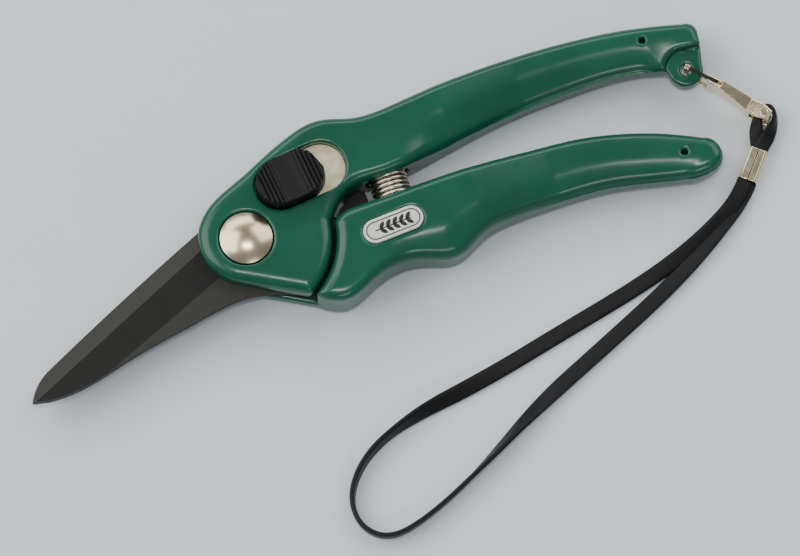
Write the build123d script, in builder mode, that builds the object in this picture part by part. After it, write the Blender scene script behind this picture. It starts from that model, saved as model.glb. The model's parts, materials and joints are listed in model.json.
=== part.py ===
from build123d import *
import math
import os

# Pruning snips, closed. Millimetres. The origin is on the pivot axis, at the back face that the snips lie on.
# +X runs along the grips, +Y towards the upper grip, and +Z from the back face to the front face.

# Layers, from the back face up
handle_thickness = 15.0
mid_z = handle_thickness / 2
blade_thickness = 2.5
blade_gap = 0.1
rear_blade_z = mid_z - blade_gap / 2 - blade_thickness
front_blade_z = mid_z + blade_gap / 2
front_head_z = front_blade_z + blade_thickness

# Heads and grips
head_radius = 21.5
wall_radius = 22.6
grip_end_raise = 3.2

# Pivot
bolt_shank_radius = 3.0
bolt_head_radius = 6.6
bolt_head_z = 13.5
bolt_dome_height = 3.2
bolt_rim_height = 1.2
bush_radius = 4.0
running_clearance = 0.05
nut_thickness = 2.15
nut_across_flats = 10.0
washer_thickness = 0.6
front_washer_radius = 5.6
nut_washer_radius = 6.2
head_recess_gap = 0.35

# Thumb lock: the pin slides from its free place to its locked place
lock_free = Vector(12.7, 10.1)
lock_direction = Vector(0.996, 0.09).normalized()
lock_travel = 3.5
lock_locked = lock_free + lock_direction * lock_travel
lock_pin_radius = 1.3
lock_slot_width = 3.2
lock_recess_radius = 6.5
lock_recess_length = 11.0
lock_recess_z = 11.8
lock_plate_thickness = 0.8
button_height = 6.6
button_taper = 3.0
groove_pitch = 1.05
retaining_ring_radius = 2.9
opening_angle = 22.0

# Return spring, standing between the grips
spring_x = 39.1
spring_bottom_y = -9.4
spring_top_y = 12.4
spring_wire = 0.95
spring_radius = 4.5
spring_pitch = 1.15
spring_pocket_radius = 5.6

# Lanyard lug and the clip on it
lug_x = 119.4
lug_y = 4.9
lug_radius = 4.4
lug_bottom_z = 5.3
lug_top_z = 9.7
lug_hole_radius = 1.5
lug_groove = 0.7
mould_pin_radius = 0.9
upper_mould_pin = (111.4, 15.2)
lower_mould_pin = (111.3, -15.8)

# Nameplate in the lower grip
nameplate_centre = (35.8, -9.3)
nameplate_size = (15.8, 6.2)
nameplate_turn = 2.0
nameplate_depth = 0.5

# Snap hook, in its own side view: u along it from the lug's hole, and z
clip_angle = -48.0
clip_strip = 1.3
clip_hook_bottom = 3.5
clip_hook_top = 12.4
clip_eye_distance = 22.3
eye_pin_radius = 0.8
gate_hinge_u = 7.8
gate_hinge_z = 11.5
gate_pin_radius = 0.45
gate_half_width = 0.38

# Strap
strap_diameter = 1.6
ferrule_length = 8.6
ferrule_width = 4.6
ferrule_height = 3.2
ferrule_wall = 0.5
ferrule_start = Vector(130.3, -19.3)
ferrule_end = Vector(124.7, -25.8)


def write(piece, name):
    """Label a finished piece and write it as a STEP file."""
    piece.label = name
    export_step(piece, f"parts/{name}.step")


def lock_slot(width):
    """A slot along the lock pin's travel."""
    middle = (lock_free + lock_locked) * 0.5
    return SlotCenterPoint((middle.X, middle.Y), (lock_locked.X, lock_locked.Y), width)


def recess_slot(radius, shift=0.0, length=lock_recess_length):
    """A stadium that starts at the lock pin's free place and runs the lock's way."""
    start = lock_free + lock_direction * shift
    end = start + lock_direction * length
    middle = (start + end) * 0.5
    return SlotCenterPoint((middle.X, middle.Y), (end.X, end.Y), 2 * radius)


os.makedirs("parts", exist_ok=True)

# Blades

with BuildPart() as front_blade:
    # Edge on the upper side, spine and heel on the lower side, tang inside the upper grip
    with BuildSketch(Plane.XY.offset(front_blade_z)):
        with BuildLine():
            ThreePointArc((-64.1, -20.6), (-61.7, -17.0), (-57.8, -14.0))
            ThreePointArc((-57.8, -14.0), (-35.0, -3.5), (-9.0, 7.6))
            Spline((-9.0, 7.6), (-5.0, 10.7), (4.4, 14.8), (12.0, 18.2))
            Polyline((12.0, 18.2), (24.0, 20.2), (30.0, 18.6), (84.0, 18.6))
            ThreePointArc((84.0, 18.6), (85.7, 16.9), (84.0, 15.2))
            Polyline((84.0, 15.2), (31.5, 14.6), (30.0, 6.5), (23.5, 1.5), (20.6, -2.8))
            ThreePointArc((20.6, -2.8), (16.9, -12.2), (10.2, -18.0))
            Spline((10.2, -18.0), (1.2, -14.2), (-5.0, -13.2), (-19.0, -14.9), (-36.0, -17.9),
                   (-53.4, -21.6), (-60.2, -21.5))
            Line((-60.2, -21.5), (-64.1, -20.6))
        make_face()
    extrude(amount=blade_thickness)
    # Cutting bevel, ground off the front face along the upper edge
    with BuildSketch(Plane(origin=(-57.8, -14.0, front_head_z), x_dir=(0.42, -0.91, 0), z_dir=(0.91, 0.42, 0))):
        with BuildLine():
            Polyline((-3, 0.2), (5.6, 0.2), (5.6, 0), (0, -2.0), (-3, -3.0), (-3, 0.2))
        make_face()
    extrude(amount=60, both=True, mode=Mode.SUBTRACT)
    # Shallow relief, ground along the spine
    with BuildSketch(Plane(origin=(-43.0, -19.8, front_head_z), x_dir=(-0.42, 0.91, 0), z_dir=(0.91, 0.42, 0))):
        with BuildLine():
            Polyline((0, 0), (0, 0.2), (-14, 0.2), (-14, -1.4), (0, 0))
        make_face()
    extrude(amount=33, mode=Mode.SUBTRACT)
    with BuildSketch(Plane.XY):
        Circle(bush_radius)
        lock_slot(lock_slot_width)
    extrude(amount=handle_thickness, mode=Mode.SUBTRACT)

with BuildPart() as rear_blade:
    # Edge on the lower side, spine on the upper side, tang inside the lower grip
    with BuildSketch(Plane.XY.offset(rear_blade_z)):
        with BuildLine():
            ThreePointArc((-63.4, -20.5), (-61.1, -17.6), (-57.8, -15.0))
            ThreePointArc((-57.8, -15.0), (-35.0, -4.4), (-9.0, 6.6))
            Spline((-9.0, 6.6), (-5.0, 9.8), (4.4, 14.0), (11.9, 18.2))
            RadiusArc((11.9, 18.2), (21.6, 3.4), wall_radius - 0.8)
            # A web of the tang closes the throat between the grips, in front of the spring
            Polyline((21.6, 3.4), (21.8, 0.5), (22.6, -1.9), (23.4, -1.2), (25.5, 1.1), (28.9, 3.1), (32.6, 3.3),
                     (32.6, -1.0), (29.5, -11.8), (84.0, -11.8))
            ThreePointArc((84.0, -11.8), (85.6, -13.4), (84.0, -15.0))
            Polyline((84.0, -15.0), (56.0, -15.2), (47.0, -18.4), (30.0, -17.0), (20.0, -20.4), (14.5, -20.2))
            Spline((14.5, -20.2), (4.0, -14.6), (-5.0, -12.4), (-19.0, -14.2), (-36.0, -17.2),
                   (-53.0, -20.9), (-59.6, -21.1))
            Line((-59.6, -21.1), (-63.4, -20.5))
        make_face()
    extrude(amount=blade_thickness)
    # Cutting bevel, ground off the back face along the lower edge
    with BuildSketch(Plane(origin=(-55.0, -21.2, rear_blade_z), x_dir=(-0.17, 0.985, 0), z_dir=(0.985, 0.17, 0))):
        with BuildLine():
            Polyline((-3, -0.2), (4.6, -0.2), (4.6, 0), (0, 2.0), (-3, 3.0), (-3, -0.2))
        make_face()
    extrude(amount=48, both=True, mode=Mode.SUBTRACT)
    with BuildSketch(Plane.XY):
        Circle(bush_radius + running_clearance)
        lock_slot(lock_slot_width)
        # Channel that the lock pin runs along while the snips open, and whose end stops them
        pin_radius = lock_free.length
        pin_angle = math.degrees(math.atan2(lock_free.Y, lock_free.X))
        SlotArc(CenterArc((0, 0), pin_radius, pin_angle, opening_angle).edge(), lock_slot_width)
    extrude(amount=handle_thickness, mode=Mode.SUBTRACT)
    # Open rim past the locking tooth
    tooth_end_angle = 44.5
    stop_angle = 66.0
    with BuildSketch(Plane.XY):
        with BuildLine():
            inner = CenterArc((0, 0), 17.2, tooth_end_angle, stop_angle - tooth_end_angle)
            outer = CenterArc((0, 0), 24.0, tooth_end_angle, stop_angle - tooth_end_angle)
            Line(inner @ 0, outer @ 0)
            Line(inner @ 1, outer @ 1)
        make_face()
    extrude(amount=handle_thickness, mode=Mode.SUBTRACT)

# Handles

with BuildSketch() as grip_side:
    # Side view of a handle, x along the grip and y up through its thickness
    with BuildLine():
        Polyline((-20, 0), (58, 0), (78, 2.1), (130, grip_end_raise), (130, handle_thickness - grip_end_raise),
                 (78, handle_thickness - 2.1), (58, handle_thickness), (-20, handle_thickness), (-20, 0))
    make_face()

with BuildPart() as upper_handle:
    with BuildSketch(Plane.XY):
        with BuildLine():
            ThreePointArc((-6.9, -8.9), (-11.6, -1.0), (-10.3, 6.7))
            Spline((-10.3, 6.7), (-5.4, 11.5), (4.0, 15.6), (12.0, 19.1), (19.0, 21.8), (25.5, 23.2),
                   (30.0, 22.6), (35.0, 21.0), (42.0, 20.4), (51.0, 21.2), (66.0, 22.3), (80.0, 22.5),
                   (95.0, 21.6), (108.0, 19.9), (118.4, 17.5), (122.6, 16.3))
            ThreePointArc((122.6, 16.3), (124.9, 15.2), (125.6, 13.2))
            Polyline((125.6, 13.2), (124.6, 7.6), (122.6, 4.6), (115.6, 5.9))
            Spline((115.6, 5.9), (106.8, 8.3), (97.5, 9.3), (88.0, 9.3), (75.0, 8.8), (61.7, 7.3),
                   (48.1, 5.0), (38.0, 4.1), (28.8, 3.8), (25.0, 1.6), (22.9, -0.8), (21.35, -2.6))
            RadiusArc((21.35, -2.6), (10.4, -18.8), head_radius)
            Line((10.4, -18.8), (-6.9, -8.9))
        make_face()
    extrude(amount=handle_thickness)
    fillet(upper_handle.edges().filter_by(Axis.Z).sort_by_distance((10.4, -18.8, 7))[0], 1.2)
    with BuildSketch(Plane.XZ):
        add(grip_side.sketch)
    extrude(amount=60, both=True, mode=Mode.INTERSECT)
    # The lug is a thin ear, set below the grip's faces, that carries on the square end of the grip
    with BuildSketch(Plane.XY):
        with Locations((lug_x, lug_y)):
            Circle(lug_radius + lug_groove)
        with BuildLine():
            Polyline((119.4, 10.0), (126.0, 9.2), (126.0, 2.0), (119.4, 2.0), (119.4, 10.0))
        make_face()
    extrude(amount=handle_thickness, mode=Mode.SUBTRACT)
    with BuildSketch(Plane.XY.offset(lug_bottom_z)):
        with BuildLine():
            Polyline((115.2, 3.5), (114.2, 8.0), (117.0, 13.0), (125.2, 12.0), (124.6, 8.0), (123.5, 4.0),
                     (115.2, 3.5))
        make_face()
        with Locations((lug_x, lug_y)):
            Circle(lug_radius)
            Circle(lug_hole_radius, mode=Mode.SUBTRACT)
    extrude(amount=lug_top_z - lug_bottom_z)
    # Room for the lower half's head and for both blades
    with BuildSketch(Plane.XY):
        Circle(wall_radius)
    extrude(amount=front_head_z, mode=Mode.SUBTRACT)
    with BuildSketch(Plane.XY):
        with Locations((20, -1)):
            Rectangle(14, 10.4)
    extrude(amount=mid_z, mode=Mode.SUBTRACT)
    add(front_blade.part, mode=Mode.SUBTRACT)
    # Lock recess, the pin's slot and the room for its retaining ring
    with BuildSketch(Plane.XY.offset(lock_recess_z)):
        recess_slot(lock_recess_radius)
    extrude(amount=5, mode=Mode.SUBTRACT)
    with BuildSketch(Plane.XY.offset(front_head_z)):
        lock_slot(lock_slot_width)
    extrude(amount=5, mode=Mode.SUBTRACT)
    with BuildSketch(Plane.XY.offset(front_head_z)):
        lock_slot(6.6)
    extrude(amount=1.2, mode=Mode.SUBTRACT)
    # Pivot bore and the recess of the bolt's head
    with BuildSketch(Plane.XY.offset(front_head_z)):
        Circle(bolt_shank_radius)
    extrude(amount=5, mode=Mode.SUBTRACT)
    with BuildSketch(Plane.XY.offset(bolt_head_z - washer_thickness)):
        Circle(bolt_head_radius + head_recess_gap)
    extrude(amount=5, mode=Mode.SUBTRACT)
    # Spring pocket and the small pin hole near the grip's end
    with BuildSketch(Plane.XZ.offset(-(spring_top_y + 0.1))):
        with Locations((spring_x, mid_z)):
            Circle(spring_pocket_radius)
    extrude(amount=spring_top_y + 3, mode=Mode.SUBTRACT)
    with BuildSketch(Plane.XY.offset(8)):
        with Locations(upper_mould_pin):
            Circle(mould_pin_radius)
    extrude(amount=10, mode=Mode.SUBTRACT)

with BuildPart() as lower_handle:
    with BuildSketch(Plane.XY):
        with BuildLine():
            wall = CenterArc((0, 0), wall_radius, -59, 50)
            Spline(wall @ 1, (23.6, -2.2), (26.3, -1.3), (30.1, -1.1), (43.0, -0.9), (61.8, -1.2), (74.3, -1.9),
                   (86.8, -3.0), (98.6, -5.6), (108.0, -8.9), (117.0, -13.3))
            Spline((117.0, -13.3), (120.3, -16.6), (119.9, -20.4), (115.6, -22.5), (110.0, -22.0))
            Spline((110.0, -22.0), (102.8, -20.3), (91.0, -17.6), (78.5, -16.7), (66.0, -16.6), (57.0, -18.0),
                   (51.5, -20.7), (48.0, -21.5), (44.0, -20.7), (38.0, -18.8), (32.5, -18.9), (25.9, -21.0),
                   (19.4, -23.2), (15.8, -22.6), wall @ 0)
        make_face()
    extrude(amount=handle_thickness)
    with BuildSketch(Plane.XY):
        with BuildLine():
            ThreePointArc((-5.5, -9.8), (-11.0, 0.6), (-6.5, 8.4))
            Line((-6.5, 8.4), (10.2, 17.7))
            RadiusArc((10.2, 17.7), (21.4, 2.0), 20.9)
            Spline((21.4, 2.0), (23.0, 0.6), (25.0, -0.8), (28.8, -1.2))
            Polyline((28.8, -1.2), (30.0, -12.0), (24.0, -20.0), (18.0, -22.9), (15.8, -22.3), (-5.5, -9.8))
        make_face()
    extrude(amount=rear_blade_z)
    with BuildSketch(Plane.XZ):
        add(grip_side.sketch)
    extrude(amount=60, both=True, mode=Mode.INTERSECT)
    add(rear_blade.part, mode=Mode.SUBTRACT)
    # Bore that turns on the bush, and the recess of the nut and its washer
    with BuildSketch(Plane.XY):
        Circle(bush_radius + running_clearance)
    extrude(amount=rear_blade_z, mode=Mode.SUBTRACT)
    with BuildSketch(Plane.XY):
        Circle(bolt_head_radius + head_recess_gap)
    extrude(amount=nut_thickness + washer_thickness + running_clearance, mode=Mode.SUBTRACT)
    # Spring pocket, nameplate recess and the small pin hole near the grip's end
    with BuildSketch(Plane.XZ.offset(-2)):
        with Locations((spring_x, mid_z)):
            Circle(spring_pocket_radius)
    extrude(amount=2 - spring_bottom_y + 0.1, mode=Mode.SUBTRACT)
    with BuildSketch(Plane.XY.offset(handle_thickness - nameplate_depth)):
        with Locations(nameplate_centre):
            SlotOverall(nameplate_size[0] + 0.6, nameplate_size[1] + 0.6, rotation=nameplate_turn)
    extrude(amount=2, mode=Mode.SUBTRACT)
    with BuildSketch(Plane.XY.offset(8)):
        with Locations(lower_mould_pin):
            Circle(mould_pin_radius)
    extrude(amount=10, mode=Mode.SUBTRACT)

with BuildPart() as nameplate:
    with BuildSketch(Plane.XY.offset(handle_thickness - nameplate_depth)):
        with Locations(nameplate_centre):
            SlotOverall(*nameplate_size, rotation=nameplate_turn)
    extrude(amount=nameplate_depth + 0.1)

# Pivot

dome_rise = bolt_dome_height - bolt_rim_height
dome_radius = (bolt_head_radius ** 2 + dome_rise ** 2) / (2 * dome_rise)
dome_middle = bolt_head_z + bolt_dome_height - dome_radius + math.sqrt(dome_radius ** 2 - bolt_head_radius ** 2 / 4)
with BuildPart() as pivot_bolt:
    with BuildSketch(Plane.XY):
        Circle(bolt_shank_radius)
    extrude(amount=bolt_head_z)
    # Domed head, turned
    with BuildSketch(Plane.XZ):
        with BuildLine():
            Line((0, bolt_head_z), (bolt_head_radius, bolt_head_z))
            Line((bolt_head_radius, bolt_head_z), (bolt_head_radius, bolt_head_z + bolt_rim_height))
            ThreePointArc((bolt_head_radius, bolt_head_z + bolt_rim_height), (bolt_head_radius / 2, dome_middle),
                          (0, bolt_head_z + bolt_dome_height))
            Line((0, bolt_head_z + bolt_dome_height), (0, bolt_head_z))
        make_face()
    revolve(axis=Axis.Z)

with BuildPart() as pivot_bush:
    with BuildSketch(Plane.XY.offset(nut_thickness + washer_thickness)):
        Circle(bush_radius)
        Circle(bolt_shank_radius, mode=Mode.SUBTRACT)
    extrude(amount=front_head_z - nut_thickness - washer_thickness)

with BuildPart() as front_washer:
    with BuildSketch(Plane.XY.offset(bolt_head_z - washer_thickness)):
        Circle(front_washer_radius)
        Circle(bolt_shank_radius + 0.1, mode=Mode.SUBTRACT)
    extrude(amount=washer_thickness)

with BuildPart() as nut_washer:
    with BuildSketch(Plane.XY.offset(nut_thickness)):
        Circle(nut_washer_radius)
        Circle(bolt_shank_radius + 0.1, mode=Mode.SUBTRACT)
    extrude(amount=washer_thickness)

with BuildPart() as pivot_nut:
    with BuildSketch(Plane.XY):
        RegularPolygon(nut_across_flats / 2, 6, major_radius=False)
        Circle(bolt_shank_radius, mode=Mode.SUBTRACT)
    extrude(amount=nut_thickness)
    chamfer(pivot_nut.faces().sort_by(Axis.Z)[0].outer_wire().edges(), 0.3)

# Thumb lock

with BuildPart() as lock_plate:
    with BuildSketch(Plane.XY.offset(lock_recess_z)):
        recess_slot(lock_recess_radius - 0.15)
    extrude(amount=lock_plate_thickness)
    with BuildSketch(Plane.XY.offset(lock_recess_z)):
        lock_slot(lock_slot_width)
    extrude(amount=lock_plate_thickness, mode=Mode.SUBTRACT)

button_z = lock_recess_z + lock_plate_thickness + 0.05
button_top = button_z + button_height
slide_x = Vector(lock_direction.X, lock_direction.Y, 0)
middle = lock_free + lock_direction * 2.7
with BuildPart() as lock_button:
    with BuildSketch(Plane.XY.offset(button_z)):
        recess_slot(lock_recess_radius - 0.2, length=5.6)
    extrude(amount=button_height, taper=button_taper)
    # Nose with its corners cut off
    with BuildSketch(Plane(origin=(middle.X, middle.Y, button_z), x_dir=slide_x)):
        with BuildLine():
            Polyline((-9.6, -7), (6.4, -7), (8.9, -2.2), (7.2, 3.8), (3.0, 7), (-9.6, 7), (-9.6, -7))
        make_face()
    extrude(amount=button_height, mode=Mode.INTERSECT)
    # Thumb saddle across the middle
    with BuildSketch(Plane(origin=(middle.X, middle.Y, button_top + 19.3), x_dir=slide_x,
                           z_dir=(-lock_direction.Y, lock_direction.X, 0))):
        Circle(20)
    extrude(amount=10, both=True, mode=Mode.SUBTRACT)
    # Serrations at both ends, across the slide
    with BuildSketch(Plane(origin=(middle.X, middle.Y, button_top - 0.75), x_dir=slide_x)):
        for side in (-1, 1):
            for count in range(5):
                with Locations((side * (2.9 + groove_pitch * count), 0)):
                    Rectangle(0.42, 13)
    extrude(amount=2, mode=Mode.SUBTRACT)
    with BuildSketch(Plane.XY.offset(button_z)):
        with Locations((lock_free.X, lock_free.Y)):
            Circle(lock_pin_radius)
    extrude(amount=2.2, mode=Mode.SUBTRACT)

with BuildPart() as lock_pin:
    with BuildSketch(Plane.XY.offset(rear_blade_z + 0.3)):
        with Locations((lock_free.X, lock_free.Y)):
            Circle(lock_pin_radius)
    extrude(amount=button_z + 2.2 - rear_blade_z - 0.3)

with BuildPart() as lock_retaining_ring:
    with BuildSketch(Plane.XY.offset(front_head_z + 0.1)):
        with Locations((lock_free.X, lock_free.Y)):
            Circle(retaining_ring_radius)
            Circle(lock_pin_radius, mode=Mode.SUBTRACT)
    extrude(amount=1.0)

# Return spring

turns_length = spring_top_y - spring_bottom_y - spring_wire
with BuildPart() as return_spring:
    with BuildLine():
        coil = Helix(spring_pitch, turns_length, spring_radius,
                     center=(spring_x, spring_bottom_y + spring_wire / 2, mid_z), direction=(0, 1, 0))
    with BuildSketch(Plane(origin=coil @ 0, z_dir=coil % 0)):
        Circle(spring_wire / 2)
    sweep(path=coil, is_frenet=True)

# Clip

clip_plane = Plane(origin=(lug_x, lug_y, 0), x_dir=(math.cos(math.radians(clip_angle)),
                                                    math.sin(math.radians(clip_angle)), 0))
clip_side = Plane(origin=(lug_x, lug_y, 0), x_dir=clip_plane.x_dir, z_dir=-clip_plane.y_dir)
with BuildPart() as clip_body:
    # Side view: hook up through the lug's hole, body, and two cheeks for the eye pin
    hook_floor = clip_hook_bottom + clip_strip
    with BuildSketch(clip_side):
        with BuildLine():
            Polyline((-0.35, clip_hook_top), (-0.35, clip_hook_bottom + 0.8), (0.5, clip_hook_bottom),
                     (7.4, clip_hook_bottom - 0.2), (9.0, 5.8), (16.5, 3.4), (18.2, 0.9), (24.0, 0.6),
                     (24.0, 6.6), (18.0, 7.6), (10.0, clip_hook_top),
                     (6.3, clip_hook_top), (6.3, hook_floor), (0.95, hook_floor), (0.95, clip_hook_top),
                     (-0.35, clip_hook_top))
        make_face()
        with Locations((clip_eye_distance - 0.3, 3.6)):
            Rectangle(6.0, 4.0, mode=Mode.SUBTRACT)
    extrude(amount=3, both=True)
    # Top view: the strip is narrow at the hook and flares towards the eye
    with BuildSketch(clip_plane):
        with BuildLine():
            Polyline((-1, 0.65), (5.0, 0.7), (21.5, 1.95), (24.2, 1.3), (24.2, -1.3), (21.5, -1.95), (5.0, -0.7),
                     (-1, -0.65), (-1, 0.65))
        make_face()
    extrude(amount=20, mode=Mode.INTERSECT)
    # Slot that the gate turns in, and the bore of its pin
    with BuildSketch(clip_side):
        with Locations((gate_hinge_u, gate_hinge_z)):
            Rectangle(4.6, 3.4)
    extrude(amount=gate_half_width + 0.07, both=True, mode=Mode.SUBTRACT)
    with BuildSketch(clip_side):
        with Locations((gate_hinge_u, gate_hinge_z)):
            Circle(gate_pin_radius)
    extrude(amount=3, both=True, mode=Mode.SUBTRACT)
    with BuildSketch(clip_plane):
        with Locations((clip_eye_distance, 0)):
            Circle(eye_pin_radius)
    extrude(amount=20, mode=Mode.SUBTRACT)

with BuildPart() as clip_gate:
    with BuildSketch(clip_side):
        with Locations((gate_hinge_u, gate_hinge_z)):
            Circle(0.85)
        with BuildLine():
            Polyline((1.05, clip_hook_top - 0.1), (1.05, clip_hook_top - 0.7), (gate_hinge_u, gate_hinge_z - 0.8),
                     (gate_hinge_u, gate_hinge_z + 0.8), (1.05, clip_hook_top - 0.1))
        make_face()
        with Locations((gate_hinge_u, gate_hinge_z)):
            Circle(gate_pin_radius + 0.05, mode=Mode.SUBTRACT)
    extrude(amount=gate_half_width, both=True)

with BuildPart() as gate_pin:
    with BuildSketch(clip_side):
        with Locations((gate_hinge_u, gate_hinge_z)):
            Circle(gate_pin_radius)
    extrude(amount=0.95, both=True)

with BuildPart() as eye_pin:
    with BuildSketch(clip_plane.offset(0.3)):
        with Locations((clip_eye_distance, 0)):
            Circle(eye_pin_radius)
    extrude(amount=6.5)

# Strap

ferrule_middle = (ferrule_start + ferrule_end) * 0.5
ferrule_direction = (ferrule_end - ferrule_start).normalized()
ferrule_plane = Plane(origin=(ferrule_middle.X, ferrule_middle.Y, 0.1),
                      x_dir=(ferrule_direction.X, ferrule_direction.Y, 0))
eye = Vector(lug_x, lug_y) + Vector(clip_plane.x_dir.X, clip_plane.x_dir.Y) * clip_eye_distance

with BuildPart() as strap_ferrule:
    # A strip folded round the two layers of the strap, with its seam on the front
    with BuildSketch(ferrule_plane):
        Rectangle(ferrule_length, ferrule_width)
    extrude(amount=ferrule_height)
    fillet(strap_ferrule.edges().filter_by(lambda edge: abs((edge % 0.5).Z) < 0.01
                                           and edge.length > ferrule_length - 0.1), 0.8)
    with BuildSketch(ferrule_plane.offset(ferrule_wall)):
        Rectangle(ferrule_length + 1, ferrule_width - 2 * ferrule_wall)
    extrude(amount=ferrule_height - 2 * ferrule_wall, mode=Mode.SUBTRACT)
    with BuildSketch(ferrule_plane.offset(ferrule_height - ferrule_wall)):
        Rectangle(ferrule_length + 1, 0.25)
    extrude(amount=1, mode=Mode.SUBTRACT)

with BuildPart() as strap_eye_loop:
    # The strap's short loop through the clip's eye, with its two layers inside the ferrule
    with BuildSketch(ferrule_plane.offset(ferrule_wall)):
        Rectangle(ferrule_length, ferrule_width - 2 * ferrule_wall)
    extrude(amount=ferrule_height - 2 * ferrule_wall)
    leg_length = (ferrule_start - eye).length
    leg_direction = (ferrule_start - eye).normalized()
    loop_plane = Plane(origin=(eye.X, eye.Y, 1.9), x_dir=(leg_direction.X, leg_direction.Y, 0))
    with BuildSketch(loop_plane):
        with BuildLine():
            outer_loop = CenterArc((0, 0), 2.4, 90, 180)
            Polyline(outer_loop @ 1, (2, -2.4), (leg_length + 0.6, -1.3), (leg_length + 0.6, 1.3), (2, 2.4),
                     outer_loop @ 0)
        make_face()
        with BuildLine():
            inner_loop = CenterArc((0, 0), 1.15, 90, 180)
            Polyline(inner_loop @ 1, (2, -1.15), (leg_length - 1.5, 0), (2, 1.15), inner_loop @ 0)
        make_face(mode=Mode.SUBTRACT)
    extrude(amount=1.3)
    add(strap_ferrule.part, mode=Mode.SUBTRACT)

# Centre line of the loose loop, from the sleeve's end round and back to it
strap_points = [
    (124.40, -25.54, 2.35), (121.27, -29.18, 2.35), (114.50, -33.20, 1.60), (104.00, -37.80, 0.85),
    (90.00, -42.00, 0.85), (67.00, -46.70, 0.85), (44.00, -51.60, 0.85), (24.00, -54.60, 0.85),
    (10.50, -59.60, 0.85), (2.60, -68.20, 0.85), (2.40, -77.00, 0.85), (8.40, -82.40, 0.85),
    (19.00, -80.40, 0.85), (34.50, -73.80, 0.85), (55.50, -62.30, 0.85), (78.00, -52.90, 0.85),
    (98.00, -44.30, 0.85), (112.50, -36.20, 0.85), (121.87, -29.70, 0.85), (125.00, -26.06, 0.85),
]
corner_radii = []
for before, here, after in zip(strap_points, strap_points[1:], strap_points[2:]):
    run_in = Vector(here) - Vector(before)
    run_out = Vector(after) - Vector(here)
    turn = math.radians(run_in.get_angle(run_out))
    corner_radii.append(0.45 * min(run_in.length, run_out.length) / math.tan(turn / 2))
with BuildPart() as wrist_strap:
    with BuildLine() as strap_line:
        FilletPolyline(*strap_points, radius=corner_radii)
    with BuildSketch(Plane(origin=strap_line.line @ 0, z_dir=strap_line.line % 0)):
        Circle(strap_diameter / 2)
    sweep(path=strap_line.line)
strap_length = sum(edge.length for edge in strap_line.line.edges())
strap_section = math.pi * strap_diameter ** 2 / 4
print("strap corner radii", [round(radius, 1) for radius in corner_radii])
print("strap length", round(strap_length, 1))
print("strap volume over section times length", round(wrist_strap.part.volume / (strap_section * strap_length), 4))

pieces = {
    "upper_handle": upper_handle, "lower_handle": lower_handle, "front_blade": front_blade,
    "rear_blade": rear_blade, "nameplate": nameplate, "pivot_bolt": pivot_bolt, "pivot_bush": pivot_bush,
    "front_washer": front_washer, "nut_washer": nut_washer, "pivot_nut": pivot_nut,
    "lock_plate": lock_plate, "lock_button": lock_button, "lock_pin": lock_pin,
    "lock_retaining_ring": lock_retaining_ring, "return_spring": return_spring, "clip_body": clip_body,
    "clip_gate": clip_gate, "gate_pin": gate_pin, "eye_pin": eye_pin, "strap_ferrule": strap_ferrule,
    "strap_eye_loop": strap_eye_loop, "wrist_strap": wrist_strap,
}
for name, piece in pieces.items():
    write(piece.part, name)
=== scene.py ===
import bpy
import bmesh
import json
import math
import numpy as np
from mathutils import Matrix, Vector


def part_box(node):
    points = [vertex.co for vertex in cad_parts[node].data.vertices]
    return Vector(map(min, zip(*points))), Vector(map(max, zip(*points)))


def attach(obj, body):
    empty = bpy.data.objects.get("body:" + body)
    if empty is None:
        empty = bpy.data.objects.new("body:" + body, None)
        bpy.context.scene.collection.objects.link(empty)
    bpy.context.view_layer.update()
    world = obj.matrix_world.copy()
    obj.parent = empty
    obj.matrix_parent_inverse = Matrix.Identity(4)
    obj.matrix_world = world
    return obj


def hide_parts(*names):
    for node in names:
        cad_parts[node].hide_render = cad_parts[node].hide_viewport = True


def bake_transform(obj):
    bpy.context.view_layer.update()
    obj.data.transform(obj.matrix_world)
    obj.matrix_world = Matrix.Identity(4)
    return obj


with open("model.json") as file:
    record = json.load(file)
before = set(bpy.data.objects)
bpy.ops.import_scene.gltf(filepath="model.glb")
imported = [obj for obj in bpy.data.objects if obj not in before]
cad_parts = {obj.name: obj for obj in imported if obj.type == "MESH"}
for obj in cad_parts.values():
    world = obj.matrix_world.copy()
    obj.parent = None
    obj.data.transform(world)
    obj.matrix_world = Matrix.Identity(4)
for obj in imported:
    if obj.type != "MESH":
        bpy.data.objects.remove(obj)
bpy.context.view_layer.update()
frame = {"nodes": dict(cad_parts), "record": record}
nodes = frame["nodes"]
bodyOf = {node: body for body, members in frame["record"]["behaviour"]["bodies"].items() for node in members}
mm = 0.001
weldGap = 1e-6  # points closer than this are one


class Signal:  # a shader socket that can stand in an expression
    def __init__(self, finish, socket):
        self.finish = finish
        self.socket = socket

    def maths(self, operation, first, second):
        return self.finish.node("ShaderNodeMath", {"operation": operation}, {0: first, 1: second})

    def __add__(self, other):
        return self.maths("ADD", self, other)

    def __radd__(self, other):
        return self.maths("ADD", other, self)

    def __sub__(self, other):
        return self.maths("SUBTRACT", self, other)

    def __rsub__(self, other):
        return self.maths("SUBTRACT", other, self)

    def __mul__(self, other):
        return self.maths("MULTIPLY", self, other)

    def __rmul__(self, other):
        return self.maths("MULTIPLY", other, self)


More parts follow.
